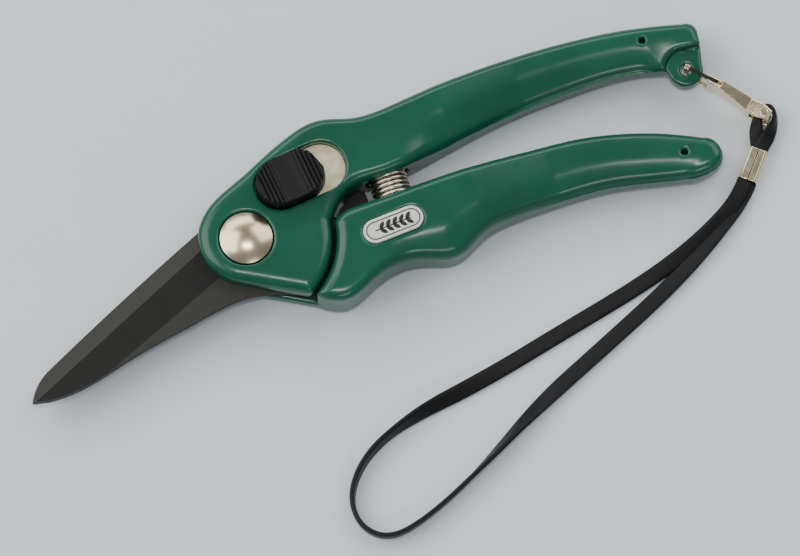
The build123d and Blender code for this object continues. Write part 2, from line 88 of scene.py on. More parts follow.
class Finish:  # one material, with its Principled shader and the nodes that feed it
    def __init__(self, name, constants):
        self.material = bpy.data.materials.new(name)
        self.material.use_nodes = True
        self.tree = self.material.node_tree
        self.tree.nodes.clear()
        self.output = self.tree.nodes.new("ShaderNodeOutputMaterial")
        self.shader = self.tree.nodes.new("ShaderNodeBsdfPrincipled")
        self.tree.links.new(self.shader.outputs[0], self.output.inputs["Surface"])
        for key, value in constants.items():
            self.shader.inputs[key].default_value = value
        self.place = self.node("ShaderNodeTexCoord", {}, {}, "Object")

    def node(self, kind, settings, values, out=0):
        made = self.tree.nodes.new(kind)
        for key, value in settings.items():
            setattr(made, key, value)
        for key, value in values.items():
            if isinstance(value, Signal):
                self.tree.links.new(value.socket, made.inputs[key])
            else:
                made.inputs[key].default_value = value
        return Signal(self, made.outputs[out])

    def feed(self, socket, signal):
        self.tree.links.new(signal.socket, self.shader.inputs[socket])

    def stretch(self, scale, turn=0.0):  # the place, scaled by axis and turned about Z by degrees
        values = {"Vector": self.place, "Rotation": (0, 0, math.radians(turn)), "Scale": scale}
        return self.node("ShaderNodeMapping", {}, values)

    def noise(self, scale, detail=3.0, rough=0.5, place=None):
        values = {"Vector": place or self.place, "Scale": scale, "Detail": detail, "Roughness": rough}
        return self.node("ShaderNodeTexNoise", {}, values, "Fac")

    def curve(self, signal, low, high, first=0.0, last=1.0):  # maps low..high to first..last, held at ends
        values = {"Value": signal, "From Min": low, "From Max": high, "To Min": first, "To Max": last}
        return self.node("ShaderNodeMapRange", {"clamp": True}, values)

    def blendColours(self, factor, first, second):
        return self.node("ShaderNodeMix", {"data_type": "RGBA"}, {0: factor, 6: first, 7: second}, 2)

    def bump(self, height, strength, distance=0.0001):
        values = {"Height": height, "Strength": strength, "Distance": distance}
        self.feed("Normal", self.node("ShaderNodeBump", {}, values))


def paint(piece, finish):
    piece.data.materials.clear()
    piece.data.materials.append(finish.material)
    for polygon in piece.data.polygons:
        polygon.material_index = 0


def dimmed(colour, share):
    return tuple(channel * share for channel in colour[:3]) + (1,)


def greenPlastic():
    look = {"green": (0.0036, 0.082, 0.046, 1), "shade": (0.0028, 0.066, 0.037, 1), "patches": 60,
            "smears": 210, "scratches": (300, 9000, 300), "scratchRun": -12, "rough": (0.20, 0.29),
            "grain": 1500, "sinks": 90, "relief": 0.08}
    made = Finish("glossyGreenPlastic", {"IOR": 1.46})
    flow = made.noise(look["patches"], 2.0)
    made.feed("Base Color", made.blendColours(made.curve(flow, 0.35, 0.65), look["shade"], look["green"]))
    smear = made.noise(look["smears"], 4.0, 0.6)
    scratches = made.noise(1.0, 2.0, 0.4, made.stretch(look["scratches"], look["scratchRun"]))
    marks = smear + made.curve(scratches, 0.66, 0.72) * 0.3
    made.feed("Roughness", made.curve(marks, 0.3, 0.9, *look["rough"]))
    grain = made.noise(look["grain"], 2.0)
    sink = made.noise(look["sinks"], 1.0)
    made.bump(grain * 0.10 + sink, look["relief"], 0.0004)
    return made


def coatedBlade():
    look = {"dark": (0.0065, 0.0068, 0.0058, 1), "light": (0.0125, 0.0130, 0.0112, 1), "clouds": 150,
            "strokes": (260, 2600, 400), "strokeRun": -24, "rough": (0.44, 0.60), "relief": 0.10}
    made = Finish("coatedBladeSteel", {"Metallic": 0.2, "Specular IOR Level": 0.25})
    strokes = made.noise(1.0, 3.0, 0.6, made.stretch(look["strokes"], look["strokeRun"]))
    cloud = made.noise(look["clouds"], 4.0, 0.65)
    tone = made.curve(strokes, 0.3, 0.7) * 0.4 + cloud * 0.6
    made.feed("Base Color", made.blendColours(tone, look["dark"], look["light"]))
    made.feed("Roughness", made.curve(cloud, 0.3, 0.7, *look["rough"]))
    made.bump(strokes, look["relief"])
    return made


def groundBevel():
    look = {"dark": (0.020, 0.020, 0.0172, 1), "light": (0.041, 0.0405, 0.0355, 1), "clouds": 260,
            "strokes": (2400, 260, 600), "strokeRun": 24, "rough": (0.42, 0.58), "relief": 0.16}
    made = Finish("groundBevelSteel", {"Metallic": 0.4, "Specular IOR Level": 0.3})
    strokes = made.noise(1.0, 4.0, 0.65, made.stretch(look["strokes"], look["strokeRun"]))
    cloud = made.noise(look["clouds"], 5.0, 0.7)
    tone = made.curve(strokes, 0.3, 0.7) * 0.5 + cloud * 0.5
    made.feed("Base Color", made.blendColours(tone, look["dark"], look["light"]))
    made.feed("Roughness", made.curve(strokes, 0.3, 0.7, *look["rough"]))
    made.bump(strokes, look["relief"])
    return made


# Each metal has its colour, its least and most roughness, how fine and how dull its patches are, and its scuffs
metals = {
    "warmNickelPlate": ((0.90, 0.77, 0.50, 1), (0.14, 0.30), 300, 0.86, 0.06),
    "brushedCapNickel": ((0.68, 0.57, 0.39, 1), (0.22, 0.27), 140, 0.93, 0.06),
    "brightSpringWire": ((0.70, 0.62, 0.50, 1), (0.20, 0.26), 90, 0.9, 0.0),
    # The gate's near-black colour is painted shade, standing in for the shadow and dark reflection on the
    # clip's gate
    "paintedShadeGateMetal": ((0.05, 0.046, 0.04, 1), (0.30, 0.42), 500, 0.8, 0.06),
    "turnedSteel": ((0.52, 0.51, 0.50, 1), (0.22, 0.38), 500, 0.8, 0.06),
}


def bareMetal(name):
    colour, rough, patches, dull, scuffs = metals[name]
    made = Finish(name, {"Metallic": 1.0})
    cloud = made.noise(patches, 4.0, 0.6)
    scuff = made.noise(1.0, 2.0, 0.5, made.stretch((900, 5000, 900), 30))
    made.feed("Base Color", made.blendColours(made.curve(cloud, 0.35, 0.65), dimmed(colour, dull), colour))
    made.feed("Roughness", made.curve(scuff * 0.5 + cloud * 0.5, 0.35, 0.65, *rough))
    if scuffs:
        made.bump(scuff, scuffs)
    return made


def lockPlateMetal():
    look = {"worn": (0.60, 0.54, 0.34, 1), "clean": (0.86, 0.79, 0.55, 1), "clouds": 420,
            "drags": (220, 3600, 400), "dragRun": 5, "rough": (0.34, 0.52), "relief": 0.15}
    made = Finish("warmSatinPlate", {"Metallic": 0.35})
    cloud = made.noise(look["clouds"], 5.0, 0.7)
    drag = made.noise(1.0, 3.0, 0.6, made.stretch(look["drags"], look["dragRun"]))
    tone = made.curve(cloud, 0.35, 0.68) * 0.7 + made.curve(drag, 0.5, 0.7) * 0.3
    made.feed("Base Color", made.blendColours(tone, look["worn"], look["clean"]))
    made.feed("Roughness", made.curve(cloud, 0.3, 0.7, *look["rough"]))
    made.bump(cloud * 0.6 + drag * 0.4, look["relief"])
    return made


def badgePaint(name, colour):
    look = {"specks": 1300, "dull": 0.86, "rough": (0.30, 0.42)}
    made = Finish(name, {"IOR": 1.48, "Coat Weight": 0.5, "Coat Roughness": 0.1})
    speck = made.noise(look["specks"], 3.0, 0.6)
    clean = made.curve(speck, 0.4, 0.65)
    made.feed("Base Color", made.blendColours(1 - clean, colour, dimmed(colour, look["dull"])))
    made.feed("Roughness", made.curve(speck, 0.3, 0.7, *look["rough"]))
    return made


def blackPlastic():
    look = {"black": (0.0045, 0.0045, 0.0047, 1), "dusty": (0.0100, 0.0098, 0.0094, 1), "grain": 4200,
            "dust": 700, "rough": (0.42, 0.58), "relief": 0.25}
    made = Finish("satinBlackPlastic", {"IOR": 1.45, "Specular IOR Level": 0.28})
    grain = made.noise(look["grain"], 3.0, 0.6)
    dust = made.noise(look["dust"], 4.0, 0.7)
    made.feed("Base Color", made.blendColours(made.curve(dust, 0.5, 0.8), look["black"], look["dusty"]))
    made.feed("Roughness", made.curve(grain, 0.3, 0.7, *look["rough"]))
    made.bump(grain, look["relief"])
    return made


def leatherette():
    look = {"black": (0.0018, 0.0018, 0.0024, 1), "worn": (0.0050, 0.0050, 0.0064, 1), "cells": 1900,
            "grain": 2600, "rough": (0.36, 0.52), "relief": 0.3}
    made = Finish("blackLeatherette", {"IOR": 1.45, "Specular IOR Level": 0.28})
    cells = made.node("ShaderNodeTexVoronoi", {"feature": "DISTANCE_TO_EDGE"},
                      {"Vector": made.place, "Scale": look["cells"]}, "Distance")
    grain = made.noise(look["grain"], 3.0, 0.6)
    made.feed("Base Color", made.blendColours(made.curve(grain, 0.4, 0.7), look["black"], look["worn"]))
    made.feed("Roughness", made.curve(grain, 0.3, 0.7, *look["rough"]))
    made.bump(made.curve(cells, 0.0, 0.25) + grain * 0.4, look["relief"])
    return made


green = greenPlastic()
blade = coatedBlade()
bevel = groundBevel()
nickelPlate = bareMetal("warmNickelPlate")
capNickel = bareMetal("brushedCapNickel")
brightSpring = bareMetal("brightSpringWire")
# Near-black steel for the clip's gate: painted shade for its shadow and dark reflection
gatePaintedShade = bareMetal("paintedShadeGateMetal")
lockMetal = lockPlateMetal()
plainSteel = bareMetal("turnedSteel")
badgeFace = badgePaint("badgeSilverWhite", (0.72, 0.69, 0.64, 1))
badgeInk = badgePaint("badgeInk", (0.012, 0.014, 0.012, 1))
black = blackPlastic()
strapSkin = leatherette()
print("materials ready")


def addObject(name, data):
    made = bpy.data.objects.new(name, data)
    bpy.context.scene.collection.objects.link(made)
    return made


def meshPiece(name, points, faces, finish, smooth=True):
    mesh = bpy.data.meshes.new(name)
    mesh.from_pydata([tuple(point) for point in points], [], [tuple(face) for face in faces])
    mesh.validate()
    mesh.materials.append(finish.material)
    for polygon in mesh.polygons:
        polygon.use_smooth = smooth
    return addObject(name, mesh)


def standsFor(piece, node):  # takes the place of a CAD node, on that node's body
    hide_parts(node)
    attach(piece, bodyOf[node])


def evaluatedMesh(piece):
    return bpy.data.meshes.new_from_object(piece.evaluated_get(bpy.context.evaluated_depsgraph_get()))


def coordsOf(mesh):
    flat = np.empty(len(mesh.vertices) * 3)
    mesh.vertices.foreach_get("co", flat)
    return flat.reshape(-1, 3)


def neighbourMean(coords, edges):
    total = np.zeros_like(coords)
    for axis in range(3):
        total[:, axis] += np.bincount(edges[:, 0], coords[edges[:, 1], axis], len(coords))
        total[:, axis] += np.bincount(edges[:, 1], coords[edges[:, 0], axis], len(coords))
    count = np.bincount(edges.ravel(), minlength=len(coords))
    return total / np.maximum(count, 1)[:, None]


def relax(coords, edges, rounds, share=0.5):
    for _ in range(rounds):
        coords = coords + share * (neighbourMean(coords, edges) - coords)
    return coords


def remeshed(node, name, voxel, rounds):  # a node's shape in even quads with softened edges
    enlarge = 100.0  # the voxels of the remesh come out evenly only on a large shape
    mesh = nodes[node].data.copy()
    mesh.materials.clear()
    piece = addObject(name, mesh)
    form = bmesh.new()
    form.from_mesh(mesh)
    bmesh.ops.remove_doubles(form, verts=form.verts, dist=weldGap)
    bmesh.ops.scale(form, vec=(enlarge, enlarge, enlarge), verts=form.verts)
    form.to_mesh(mesh)
    form.free()
    remesh = piece.modifiers.new("evenQuads", "REMESH")
    remesh.mode = "VOXEL"
    remesh.voxel_size = voxel * enlarge
    shaped = evaluatedMesh(piece)
    piece.modifiers.clear()
    piece.data = shaped
    edges = np.empty(len(shaped.edges) * 2, dtype=np.int64)
    shaped.edges.foreach_get("vertices", edges)
    edges = edges.reshape(-1, 2)
    return piece, relax(coordsOf(shaped) / enlarge, edges, rounds), edges


def settle(piece, coords, finish):
    piece.data.vertices.foreach_set("co", coords.ravel())
    piece.data.polygons.foreach_set("use_smooth", [True] * len(piece.data.polygons))
    paint(piece, finish)
    piece.data.update()


def camera():
    view = {"elevation": 75.0, "turn": -20.0, "lens": 420.0, "sensor": 36.0, "across": 0.200,
            "target": Vector((32.7, -22.7, 13.8)) * mm}
    rise = math.radians(view["elevation"])
    side = math.radians(view["turn"])
    back = Vector((math.sin(side) * math.cos(rise), -math.cos(side) * math.cos(rise), math.sin(rise)))
    data = bpy.data.cameras.new("camera")
    data.lens = view["lens"]
    data.sensor_width = view["sensor"]
    data.clip_start = 0.01
    made = addObject("camera", data)
    made.location = view["target"] + back * view["across"] * view["lens"] / view["sensor"]
    made.rotation_euler = (math.pi / 2 - rise, 0, side)
    bpy.context.scene.camera = made


# Each softbox has its place, its two sizes, its power and its colour
softboxes = {
    "frontSoftbox": ((0.02, -0.85, 0.60), (0.40, 0.09), 1.3, (1.0, 0.985, 0.96)),
    "topSoftbox": ((-0.02, -0.15, 0.985), (0.30, 0.07), 2.4, (1.0, 0.985, 0.96)),
    "leftSoftbox": ((-0.72, 0.38, 0.80), (1.05, 1.05), 12.0, (1.0, 0.99, 0.97)),
    "rightSoftbox": ((0.85, 0.30, 0.75), (0.90, 0.90), 6.0, (0.96, 0.98, 1.0)),
    "backSoftbox": ((0.05, 0.95, 0.60), (1.20, 0.40), 5.0, (0.97, 0.99, 1.0)),
}


def softbox(name, position, size, power, colour):
    data = bpy.data.lights.new(name, "AREA")
    data.shape = "RECTANGLE"
    data.size, data.size_y = size
    data.energy = power
    data.color = colour
    made = addObject(name, data)
    made.location = position
    aim = Vector((0.03, -0.02, 0.0)) - Vector(position)
    made.rotation_euler = aim.to_track_quat("-Z", "Y").to_euler()


def studio():
    look = {"cool": (0.62, 0.66, 0.70, 1), "pale": (0.64, 0.68, 0.72, 1), "rough": 0.75, "specks": 40,
            "half": 3.0, "room": (0.85, 0.9, 0.95, 1), "roomStrength": 0.30}
    finish = Finish("paleFloor", {"Roughness": look["rough"]})
    speck = finish.noise(look["specks"], 2.0)
    finish.feed("Base Color", finish.blendColours(speck, look["cool"], look["pale"]))
    half = look["half"]
    floor = meshPiece("floor", [(-half, -half, 0), (half, -half, 0), (half, half, 0), (-half, half, 0)],
                      [(0, 1, 2, 3)], finish, False)
    for name, (position, size, power, colour) in softboxes.items():
        softbox(name, position, size, power, colour)
    world = bpy.data.worlds.new("softRoom")
    world.use_nodes = True
    world.node_tree.nodes["Background"].inputs["Color"].default_value = look["room"]
    world.node_tree.nodes["Background"].inputs["Strength"].default_value = look["roomStrength"]
    bpy.context.scene.world = world


camera()
studio()
print("camera, floor and light ready")


# Routes are points of the middle line in millimetres, twists are (share of the run, degrees from lying flat)
wristLoop = {
    "width": 4.2 * mm, "thickness": 1.25 * mm, "length": 0.277,
    "route": [(124.40, -25.54, 2.35), (121.27, -29.18, 2.35), (114.50, -33.20, 1.60), (104.00, -37.80, 0.85),
              (90.00, -42.00, 0.85), (67.00, -46.70, 0.85), (44.00, -51.60, 0.85), (24.00, -54.60, 0.85),
              (10.50, -59.60, 0.85), (2.60, -68.20, 0.85), (2.40, -77.00, 0.85), (8.40, -82.40, 0.85),
              (19.00, -80.40, 0.85), (34.50, -73.80, 0.85), (55.50, -62.30, 0.85), (78.00, -52.90, 0.85),
              (98.00, -44.30, 0.85), (112.50, -36.20, 0.85), (121.87, -29.70, 0.85), (125.00, -26.06, 0.85)],
    "twist": [(0.00, 8), (0.05, 24), (0.09, 18), (0.15, 8), (0.28, 5), (0.34, 30), (0.40, 74), (0.50, 86),
              (0.62, 84), (0.68, 52), (0.74, 12), (0.84, 6), (0.90, 14), (0.95, 24), (1.00, 6)],
}
eyeLoop = {
    "width": 3.7 * mm, "thickness": 1.1 * mm,
    "route": [(129.9, -19.8, 1.5), (130.6, -17.6, 1.9), (131.2, -14.8, 2.9), (132.4, -11.8, 3.4),
              (134.4, -9.3, 3.6), (137.0, -10.0, 3.6), (137.3, -13.0, 3.3), (134.4, -16.3, 2.7),
              (131.0, -19.0, 2.3), (130.0, -19.9, 2.2)],
    "twist": [(0.0, 0), (0.15, 10), (0.35, 70), (0.5, 88), (0.65, 80), (0.85, 20), (1.0, 0)],
}
# The two powers square off the section's sides, and its rims are pressed a little thinner
strapSection = {"corners": 28, "flatPower": 0.35, "thickPower": 0.55, "rimFrom": 0.78, "rimThinner": 0.16,
                "twistBlur": 9, "offTable": 0.05 * mm}


def splinePath(name, route):
    curve = bpy.data.curves.new(name, "CURVE")
    curve.dimensions = "3D"
    spline = curve.splines.new("NURBS")
    spline.points.add(len(route) - 1)
    for point, (x, y, z) in zip(spline.points, route):
        point.co = (x * mm, y * mm, z * mm, 1)
    spline.order_u = 3
    spline.use_endpoint_u = True
    spline.resolution_u = 16
    holder = addObject(name, curve)
    bpy.context.view_layer.update()
    points = coordsOf(evaluatedMesh(holder))
    bpy.data.objects.remove(holder)
    keep = np.r_[True, np.linalg.norm(np.diff(points, axis=0), axis=1) > 1e-7]
    return points[keep]


def ribbonSection(width, thickness):
    corners = strapSection["corners"]
    section = []
    for index in range(corners):
        angle = 2 * math.pi * index / corners
        flat = math.copysign(abs(math.cos(angle)) ** strapSection["flatPower"], math.cos(angle))
        thick = math.copysign(abs(math.sin(angle)) ** strapSection["thickPower"], math.sin(angle))
        rim = 1.0 - strapSection["rimThinner"] * (abs(flat) > strapSection["rimFrom"]) * abs(thick)
        section.append((flat * width / 2, thick * thickness / 2 * rim))
    return section


def ribbon(name, path, loop, finish, grounded):  # a flat strap on a path, kept above the table if grounded
    width, thickness = loop["width"], loop["thickness"]
    steps = np.r_[0, np.cumsum(np.linalg.norm(np.diff(path, axis=0), axis=1))]
    share = steps / steps[-1]
    twistAt, twistTurn = zip(*loop["twist"])
    angles = np.radians(np.interp(share, twistAt, twistTurn))
    blur = strapSection["twistBlur"]
    kernel = np.hanning(blur) / np.hanning(blur).sum()
    angles = np.convolve(np.pad(angles, blur // 2, mode="edge"), kernel, "valid")
    tangent = np.gradient(path, axis=0)
    tangent /= np.linalg.norm(tangent, axis=1)[:, None]
    level = np.cross(tangent, (0, 0, 1))
    level /= np.linalg.norm(level, axis=1)[:, None]
    upright = np.cross(level, tangent)
    section = ribbonSection(width, thickness)
    points = []
    for place, angle, across, up in zip(path, angles, level, upright):
        wide = across * math.cos(angle) + up * math.sin(angle)
        thin = -across * math.sin(angle) + up * math.cos(angle)
        reach = abs(math.sin(angle)) * width / 2 + abs(math.cos(angle)) * thickness / 2
        lift = max(0.0, reach + strapSection["offTable"] - place[2]) if grounded else 0.0
        for flat, thick in section:
            points.append(place + wide * flat + thin * thick + np.array((0, 0, lift)))
    corners = len(section)
    faces = []
    for ring in range(len(path) - 1):
        for index in range(corners):
            after = (index + 1) % corners
            faces.append((ring * corners + index, (ring + 1) * corners + index,
                          (ring + 1) * corners + after, ring * corners + after))
    faces.append(tuple(range(corners)))
    faces.append(tuple(range(len(path) * corners - 1, (len(path) - 1) * corners - 1, -1)))
    return meshPiece(name, points, faces, finish)


def strap():
    path = splinePath("strapLine", wristLoop["route"])
    band = ribbon("wristBand", path, wristLoop, strapSkin, True)
    standsFor(band, "wrist_strap")
    run = np.linalg.norm(np.diff(path, axis=0), axis=1).sum()
    print("strap line length", round(float(run), 4))
    eyeBand = ribbon("eyeLoopBand", splinePath("loopLine", eyeLoop["route"]), eyeLoop, strapSkin, False)
    standsFor(eyeBand, "strap_eye_loop")


strap()
print("strap ready")


# Plain numbers are in millimetres. The grip's faces sink towards its ends, the lug keeps its flat faces
handleShape = {
    "voxel": 0.36 * mm, "top": 15.0, "middle": 7.5, "faceFrom": 4.0,
    "headRound": 3.4, "gripRound": 2.6, "endRound": 1.3, "creaseRound": 1.8, "gripStart": (24, 38),
    "sunk": [(58, 0), (78, 2.1), (130, 3.2)], "facetRun": 14, "facetEnd": 130, "facetFade": (4, 22),
    "lug": (119.4, 4.9), "lugRadius": 5.0, "lugTop": 9.4, "lugFade": (6, 12),
    "headRoundShare": 0.58, "gripRoundShare": 0.3,
    "roundsFrom": {1: (10.3, 8.3), -1: (4.7, 6.6)},  # head and grip, on the front and on the back
}
# Where the crease runs between a grip's middle line and its edges, and how steeply both its facets fall
gripShape = {
    "upper_handle": {
        "middle": [(-15, 2), (25, 9), (30, 13.2), (45, 12.7), (60, 14.7), (80, 15.7), (100, 15.2), (112, 12.5),
                   (126, 9.2)],
        "crease": [(30, 0.50), (60, 0.55), (90, 0.58), (126, 0.54)],
        "lower": 0.46, "upper": 0.07, "facetsFrom": 43, "hasLug": True},
    "lower_handle": {
        "middle": [(15, -10), (30, -10), (45, -10.5), (57, -9.5), (75, -9.3), (90, -10.3), (105, -13),
                   (120, -19)],
        "crease": [(24, 0.28), (36, 0.30), (57, 0.40), (80, 0.42), (120, 0.42)],
        "lower": 0.42, "upper": 0.05, "facetsFrom": 24, "hasLug": False},
}


def rimEdges(form, up):  # edges between a front (or back) face and a wall, near that side's height
    rims = []
    for edge in form.edges:
        height = (edge.verts[0].co.z - handleShape["middle"] * mm) * up
        if len(edge.link_faces) != 2 or height < handleShape["faceFrom"] * mm:
            continue
        first, second = (face.normal.z * up for face in edge.link_faces)
        if max(first, second) > 0.9 and abs(min(first, second)) < 0.4:
            rims.append(edge)
    return rims


def outline(node, up):  # the longest rim of a node's front (or back), as segments seen from above
    form = bmesh.new()
    form.from_mesh(nodes[node].data)
    bmesh.ops.remove_doubles(form, verts=form.verts, dist=weldGap)
    form.normal_update()
    rims = rimEdges(form, up)
    groups = {}
    for edge in rims:
        for vert in edge.verts:
            groups.setdefault(vert.index, []).append(edge)
    seen = set()
    best = []
    for edge in rims:
        chain = []
        waiting = [edge]
        while waiting:
            here = waiting.pop()
            if here.index in seen:
                continue
            seen.add(here.index)
            chain.append(here)
            for vert in here.verts:
                waiting.extend(groups[vert.index])
        if sum(each.calc_length() for each in chain) > sum(each.calc_length() for each in best):
            best = chain
    segments = np.array([[tuple(vert.co.xy) for vert in edge.verts] for edge in best])
    form.free()
    return segments


def distanceTo(segments, places):
    blockSize = 4000  # places worked out at once
    start = segments[:, 0]
    run = segments[:, 1] - segments[:, 0]
    size = np.maximum((run ** 2).sum(axis=1), 1e-18)
    result = np.empty(len(places))
    for low in range(0, len(places), blockSize):
        block = places[low:low + blockSize, None, :] - start[None]
        share = np.clip((block * run[None]).sum(axis=2) / size, 0, 1)
        gap = block - share[..., None] * run[None]
        result[low:low + blockSize] = np.sqrt((gap ** 2).sum(axis=2)).min(axis=1)
    return result


def smoothStep(value, low, high):
    share = np.clip((value - low) / (high - low), 0, 1)
    return share * share * (3 - 2 * share)


def along(x, table):  # a value read from a short table of (place in millimetres, value)
    return np.interp(x / mm, [at for at, _ in table], [value for _, value in table])


def filletDrop(distance, radius):  # how far a quarter round falls at a distance from the rim
    inside = np.clip(radius - distance, 0, radius)
    return radius - np.sqrt(np.maximum(radius ** 2 - inside ** 2, 0))


def facetDrop(shape, rim, places):  # how far the front face falls on both sides of its crease
    centre = rim.mean(axis=1)
    above = centre[:, 1] > along(centre[:, 0], shape["middle"]) * mm
    low = distanceTo(rim[~above], places)
    wide = low + distanceTo(rim[above], places)
    fromCrease = low - along(places[:, 0], shape["crease"]) * wide
    fall, rise = shape["lower"], shape["upper"]
    bend = np.sqrt(fromCrease ** 2 + (handleShape["creaseRound"] * mm) ** 2)
    return (rise - fall) / 2 * fromCrease + (rise + fall) / 2 * bend


def rounded(node, coords):  # gives the front face its two facets, and both faces their moulded rounds
    size = handleShape
    shape = gripShape[node]
    x, y = coords[:, 0], coords[:, 1]
    grip = smoothStep(np.hypot(x, y), *(at * mm for at in size["gripStart"]))
    facets = smoothStep(x, shape["facetsFrom"] * mm, (shape["facetsFrom"] + size["facetRun"]) * mm)
    sunk = along(x, size["sunk"]) * mm
    radius = (size["headRound"] + (size["gripRound"] - size["headRound"]) * grip) * mm
    lug = np.zeros(len(coords), dtype=bool)
    if shape["hasLug"]:
        lugX, lugY = (at * mm for at in size["lug"])
        fromLug = np.hypot(x - lugX, y - lugY)
        lug = (fromLug < size["lugRadius"] * mm) | ((x > lugX) & (y < size["lugTop"] * mm) & (y > 0))
        faded = smoothStep(fromLug, *(at * mm for at in size["lugFade"]))
        radius = size["endRound"] * mm + (radius - size["endRound"] * mm) * faded
    for up, (headLimit, gripLimit) in size["roundsFrom"].items():
        limit = (headLimit + (gripLimit - headLimit) * grip) * mm
        chosen = ((coords[:, 2] - limit) * up > 0) & ~lug
        places = coords[chosen, :2]
        rim = outline(node, up)
        drop = filletDrop(distanceTo(rim, places), radius[chosen])
        drop = drop * (size["headRoundShare"] + size["gripRoundShare"] * grip[chosen])
        if up > 0:
            toEnd = size["facetEnd"] * mm - places[:, 0]
            fading = smoothStep(toEnd, *(at * mm for at in size["facetFade"]))
            drop = drop + facets[chosen] * fading * facetDrop(shape, rim, places)
        full = size["top"] * mm - sunk[chosen] if up > 0 else sunk[chosen]
        height = np.maximum((full - limit[chosen]) * up, 1 * mm)
        share = np.clip(1 - drop / height, 0.1, 1)
        coords[chosen, 2] = limit[chosen] + (coords[chosen, 2] - limit[chosen]) * share
    return coords


def handle(node, name):
    piece, coords, edges = remeshed(node, name, handleShape["voxel"], 2)
    coords = relax(rounded(node, coords), edges, 2, 0.4)
    settle(piece, coords, green)
    standsFor(piece, node)
    print(name, "vertices", len(coords))


handle("upper_handle", "upperHandleShell")
handle("lower_handle", "lowerHandleShell")
print("handles ready")


# In millimetres. Each grind is a line on the blade's face, its way out to the rim, its fall per length,
# the least thickness that it leaves and where it runs out
bladeShape = {
    "front_blade": {"face": 10.05, "back": 7.55, "grinds": [
        {"from": (-63.6, -20.9), "to": (-12.6, 1.5), "side": 1, "fall": 0.40, "least": 0.14, "end": -8.0},
        {"from": (-42.0, -19.2), "to": (-12.0, -7.3), "side": -1, "fall": 0.10, "least": 1.2, "end": 24.0}]},
    "rear_blade": {"face": 4.95, "back": 7.45, "grinds": [
        {"from": (-62.0, -17.6), "to": (-10.5, -8.2), "side": -1, "fall": 0.44, "least": 0.14, "end": -4.0}]},
    "sharpEdge": math.radians(24),
}


def groundBlade(node, name):
    shape = bladeShape[node]
    face, back = shape["face"] * mm, shape["back"] * mm
    up = 1 if face > back else -1
    mesh = nodes[node].data.copy()
    mesh.name = name
    mesh.materials.clear()
    form = bmesh.new()
    form.from_mesh(mesh)
    bmesh.ops.remove_doubles(form, verts=form.verts, dist=weldGap)
    for vert in form.verts:
        if abs(vert.co.z - back) > 0.02 * mm:
            vert.co.z = face
    bmesh.ops.remove_doubles(form, verts=form.verts, dist=2 * weldGap)
    bmesh.ops.dissolve_degenerate(form, dist=weldGap, edges=form.edges)
    ground = []
    for grind in shape["grinds"]:
        first, last = Vector(grind["from"]) * mm, Vector(grind["to"]) * mm
        way = (last - first).normalized()
        outward = Vector((-way.y, way.x)) * grind["side"]
        end = grind["end"] * mm
        for origin, normal in ((first, outward), (Vector((end, 0)), Vector((1, 0)))):
            bmesh.ops.bisect_plane(form, geom=form.verts[:] + form.edges[:] + form.faces[:], dist=1e-7,
                                   plane_co=(origin.x, origin.y, 0), plane_no=(normal.x, normal.y, 0))
        for vert in form.verts:
            beyond = (vert.co.xy - first).dot(outward)
            if abs(vert.co.z - face) < 1e-7 and beyond > 0 and vert.co.x < end + 1e-6:
                vert.co.z = back + up * max(grind["least"] * mm, abs(face - back) - beyond * grind["fall"])
        ground.append((first, outward, end))
    form.normal_update()
    for polygon in form.faces:
        middle = polygon.calc_center_median()
        inGrind = any((middle.xy - first).dot(outward) > 0 and middle.x < end
                      for first, outward, end in ground)
        outside = polygon.normal.z * up > 0.5 and abs(middle.z - back) > 1e-5
        polygon.material_index = 1 if inGrind and outside else 0
        polygon.smooth = True
    for edge in form.edges:
        if len(edge.link_faces) == 2:
            first, second = edge.link_faces
            turned = edge.calc_face_angle(0.0) > bladeShape["sharpEdge"]
            edge.smooth = not (turned or first.material_index != second.material_index)
    form.to_mesh(mesh)
    form.free()
    mesh.validate()
    mesh.materials.append(blade.material)
    mesh.materials.append(bevel.material)
    standsFor(addObject(name, mesh), node)


groundBlade("front_blade", "frontBladeGround")
groundBlade("rear_blade", "rearBladeGround")
print("blades ready")


def coilSpring():
    coil = {"closedTurns": 1.5, "openTurns": 15, "wire": 0.95 * mm, "closedPitch": 1.03, "stepsPerTurn": 40,
            "corners": 16}
    low, high = (Vector(corner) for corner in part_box("return_spring"))
    middle = (low + high) / 2
    radius = (high.x - low.x - coil["wire"]) / 2
    closedRise = coil["closedTurns"] * coil["wire"] * coil["closedPitch"]
    total = high.y - low.y - coil["wire"]
    turns = coil["openTurns"] + 2 * coil["closedTurns"]
    turnAt = np.linspace(0, turns, int(turns * coil["stepsPerTurn"]) + 1)
    rise = np.interp(turnAt, [0, coil["closedTurns"], turns - coil["closedTurns"], turns],
                     [0, closedRise, total - closedRise, total])
    angle = turnAt * 2 * math.pi
    centre = np.column_stack((middle.x + radius * np.cos(angle), low.y + coil["wire"] / 2 + rise,
                              middle.z + radius * np.sin(angle)))
    tangent = np.gradient(centre, axis=0)
    tangent /= np.linalg.norm(tangent, axis=1)[:, None]
    outward = np.column_stack((np.cos(angle), np.zeros_like(angle), np.sin(angle)))
    side = np.cross(tangent, outward)
    corners = coil["corners"]
    points = []
    for place, out, across in zip(centre, outward, side):
        for index in range(corners):
            turn = 2 * math.pi * index / corners
            points.append(place + (out * math.cos(turn) + across * math.sin(turn)) * coil["wire"] / 2)
    faces = [(ring * corners + index, ring * corners + (index + 1) % corners,
              (ring + 1) * corners + (index + 1) % corners, (ring + 1) * corners + index)
             for ring in range(len(centre) - 1) for index in range(corners)]
    faces.append(tuple(range(corners - 1, -1, -1)))
    faces.append(tuple(range((len(centre) - 1) * corners, len(centre) * corners)))
    spring = meshPiece("coilSpring", points, faces, brightSpring)
    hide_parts("return_spring")
    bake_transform(spring)


coilSpring()
print("return spring ready")


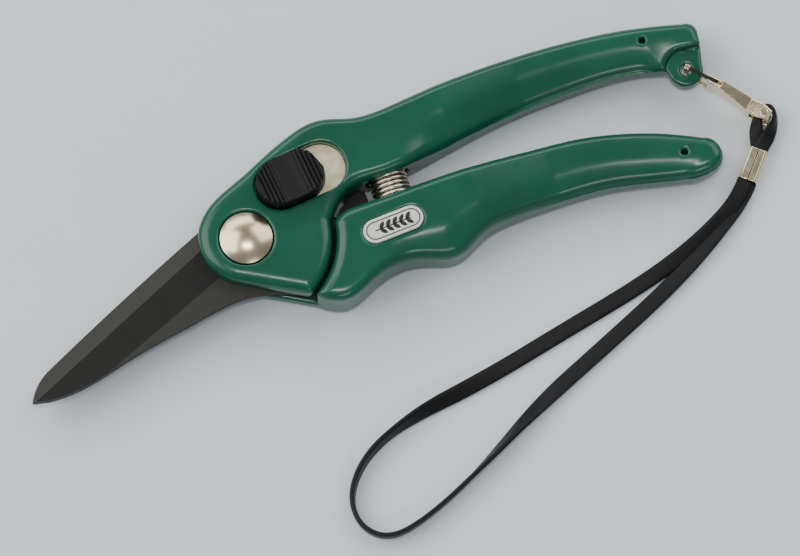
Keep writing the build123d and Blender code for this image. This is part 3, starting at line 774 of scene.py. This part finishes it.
plate = {"length": 15.8 * mm, "width": 6.2 * mm, "turn": math.radians(2.0), "edge": 0.25 * mm,
         "border": 0.75 * mm, "line": 0.30 * mm, "ink": 0.03 * mm}
sprig = {"stemFrom": -4.9 * mm, "stemTo": 4.4 * mm, "stemTip": 5.3 * mm, "stemHalf": 0.17 * mm, "leaves": 5,
         "firstLeaf": -3.6 * mm, "leafGap": 1.75 * mm, "leafAngle": 0.78, "leafLength": 2.25 * mm,
         "leafWidth": 0.24, "leafFullness": 0.8, "leafSteps": 10}


def stadium(inset, steps=16):  # outline of the plate with its round ends, drawn in by the inset
    radius = (plate["width"] - 2 * inset) / 2
    reach = (plate["length"] - 2 * inset) / 2 - radius
    points = []
    for side in (1, -1):
        for index in range(steps + 1):
            angle = -math.pi / 2 + math.pi * index / steps
            points.append((side * (reach + radius * math.cos(angle)), side * radius * math.sin(angle)))
    return points


def leaf(root, angle):
    size, steps = sprig["leafLength"], sprig["leafSteps"]
    points = []
    for side in (1, -1):
        for index in range(steps):
            share = index / steps if side > 0 else 1 - index / steps
            reach = size * share
            half = side * size * sprig["leafWidth"] * math.sin(math.pi * share) ** sprig["leafFullness"]
            points.append((root[0] + reach * math.cos(angle) - half * math.sin(angle),
                           root[1] + reach * math.sin(angle) + half * math.cos(angle)))
    return points


def badge():
    low, high = (Vector(corner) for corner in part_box("nameplate"))
    middle = (low + high) / 2

    def placed(points, z):
        cos, sin = math.cos(plate["turn"]), math.sin(plate["turn"])
        return [(middle.x + u * cos - v * sin, middle.y + u * sin + v * cos, z) for u, v in points]

    def ringFaces(count, ring, after):
        return [(ring * count + index, ring * count + (index + 1) % count,
                 after * count + (index + 1) % count, after * count + index) for index in range(count)]

    edge = plate["edge"]
    rings = [(0.0, low.z), (0.0, high.z - edge), (0.3 * edge, high.z - 0.3 * edge), (edge, high.z)]
    points, faces = [], []
    for inset, z in rings:
        points += placed(stadium(inset), z)
    count = len(points) // len(rings)
    for ring in range(len(rings) - 1):
        faces += ringFaces(count, ring, ring + 1)
    faces.append(tuple(range(count - 1, -1, -1)))
    faces.append(tuple(range((len(rings) - 1) * count, len(rings) * count)))
    standsFor(meshPiece("badgePlate", points, faces, badgeFace, False), "nameplate")

    def printed(name, outer, inner=None):  # thin ink standing a little proud of the plate
        top, bottom = high.z + plate["ink"], high.z - plate["ink"]
        rims = [placed(outer, bottom), placed(outer, top)]
        if inner:
            rims += [placed(inner, top), placed(inner, bottom)]
        count = len(outer)
        faces = []
        for ring in range(len(rims) - 1 + bool(inner)):
            faces += ringFaces(count, ring, (ring + 1) % len(rims))
        if not inner:
            faces.append(tuple(range(count, 2 * count)))
            faces.append(tuple(range(count - 1, -1, -1)))
        ink = meshPiece(name, [point for rim in rims for point in rim], faces, badgeInk, False)
        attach(ink, "lower_half")

    printed("badgeBorder", stadium(plate["border"]), stadium(plate["border"] + plate["line"]))
    start, stop, half = sprig["stemFrom"], sprig["stemTo"], sprig["stemHalf"]
    stem = [(start, -half), (stop, -half), (sprig["stemTip"], 0.0), (stop, half), (start, half)]
    printed("badgeStem", stem)
    for count in range(sprig["leaves"]):
        root = (sprig["firstLeaf"] + sprig["leafGap"] * count, 0.0)
        printed(f"badgeLeaf{count}a", leaf(root, sprig["leafAngle"]))
        printed(f"badgeLeaf{count}b", leaf(root, -sprig["leafAngle"]))


badge()
print("badge ready")


# Small parts that keep their CAD mesh, then those that get an even mesh with softened edges
painted = {
    "pivot_bush": plainSteel, "front_washer": plainSteel, "nut_washer": plainSteel, "lock_pin": plainSteel,
    "lock_retaining_ring": plainSteel, "gate_pin": plainSteel, "pivot_nut": nickelPlate,
    "eye_pin": nickelPlate, "pivot_bolt": capNickel, "lock_plate": lockMetal, "clip_gate": gatePaintedShade,
}
softened = {
    "lock_button": {"name": "thumbSlider", "voxel": 0.13 * mm, "finish": black, "slot": "black_plastic"},
    "clip_body": {"name": "snapHook", "voxel": 0.12 * mm, "finish": nickelPlate, "slot": "nickel"},
    "strap_ferrule": {"name": "foldedSleeve", "voxel": 0.10 * mm, "finish": nickelPlate, "slot": "nickel"},
}
for node, finish in painted.items():
    paint(nodes[node], finish)
for node, made in softened.items():
    piece, coords, _ = remeshed(node, made["name"], made["voxel"], 2)
    settle(piece, coords, made["finish"])
    standsFor(piece, node)
print("metalwork ready")
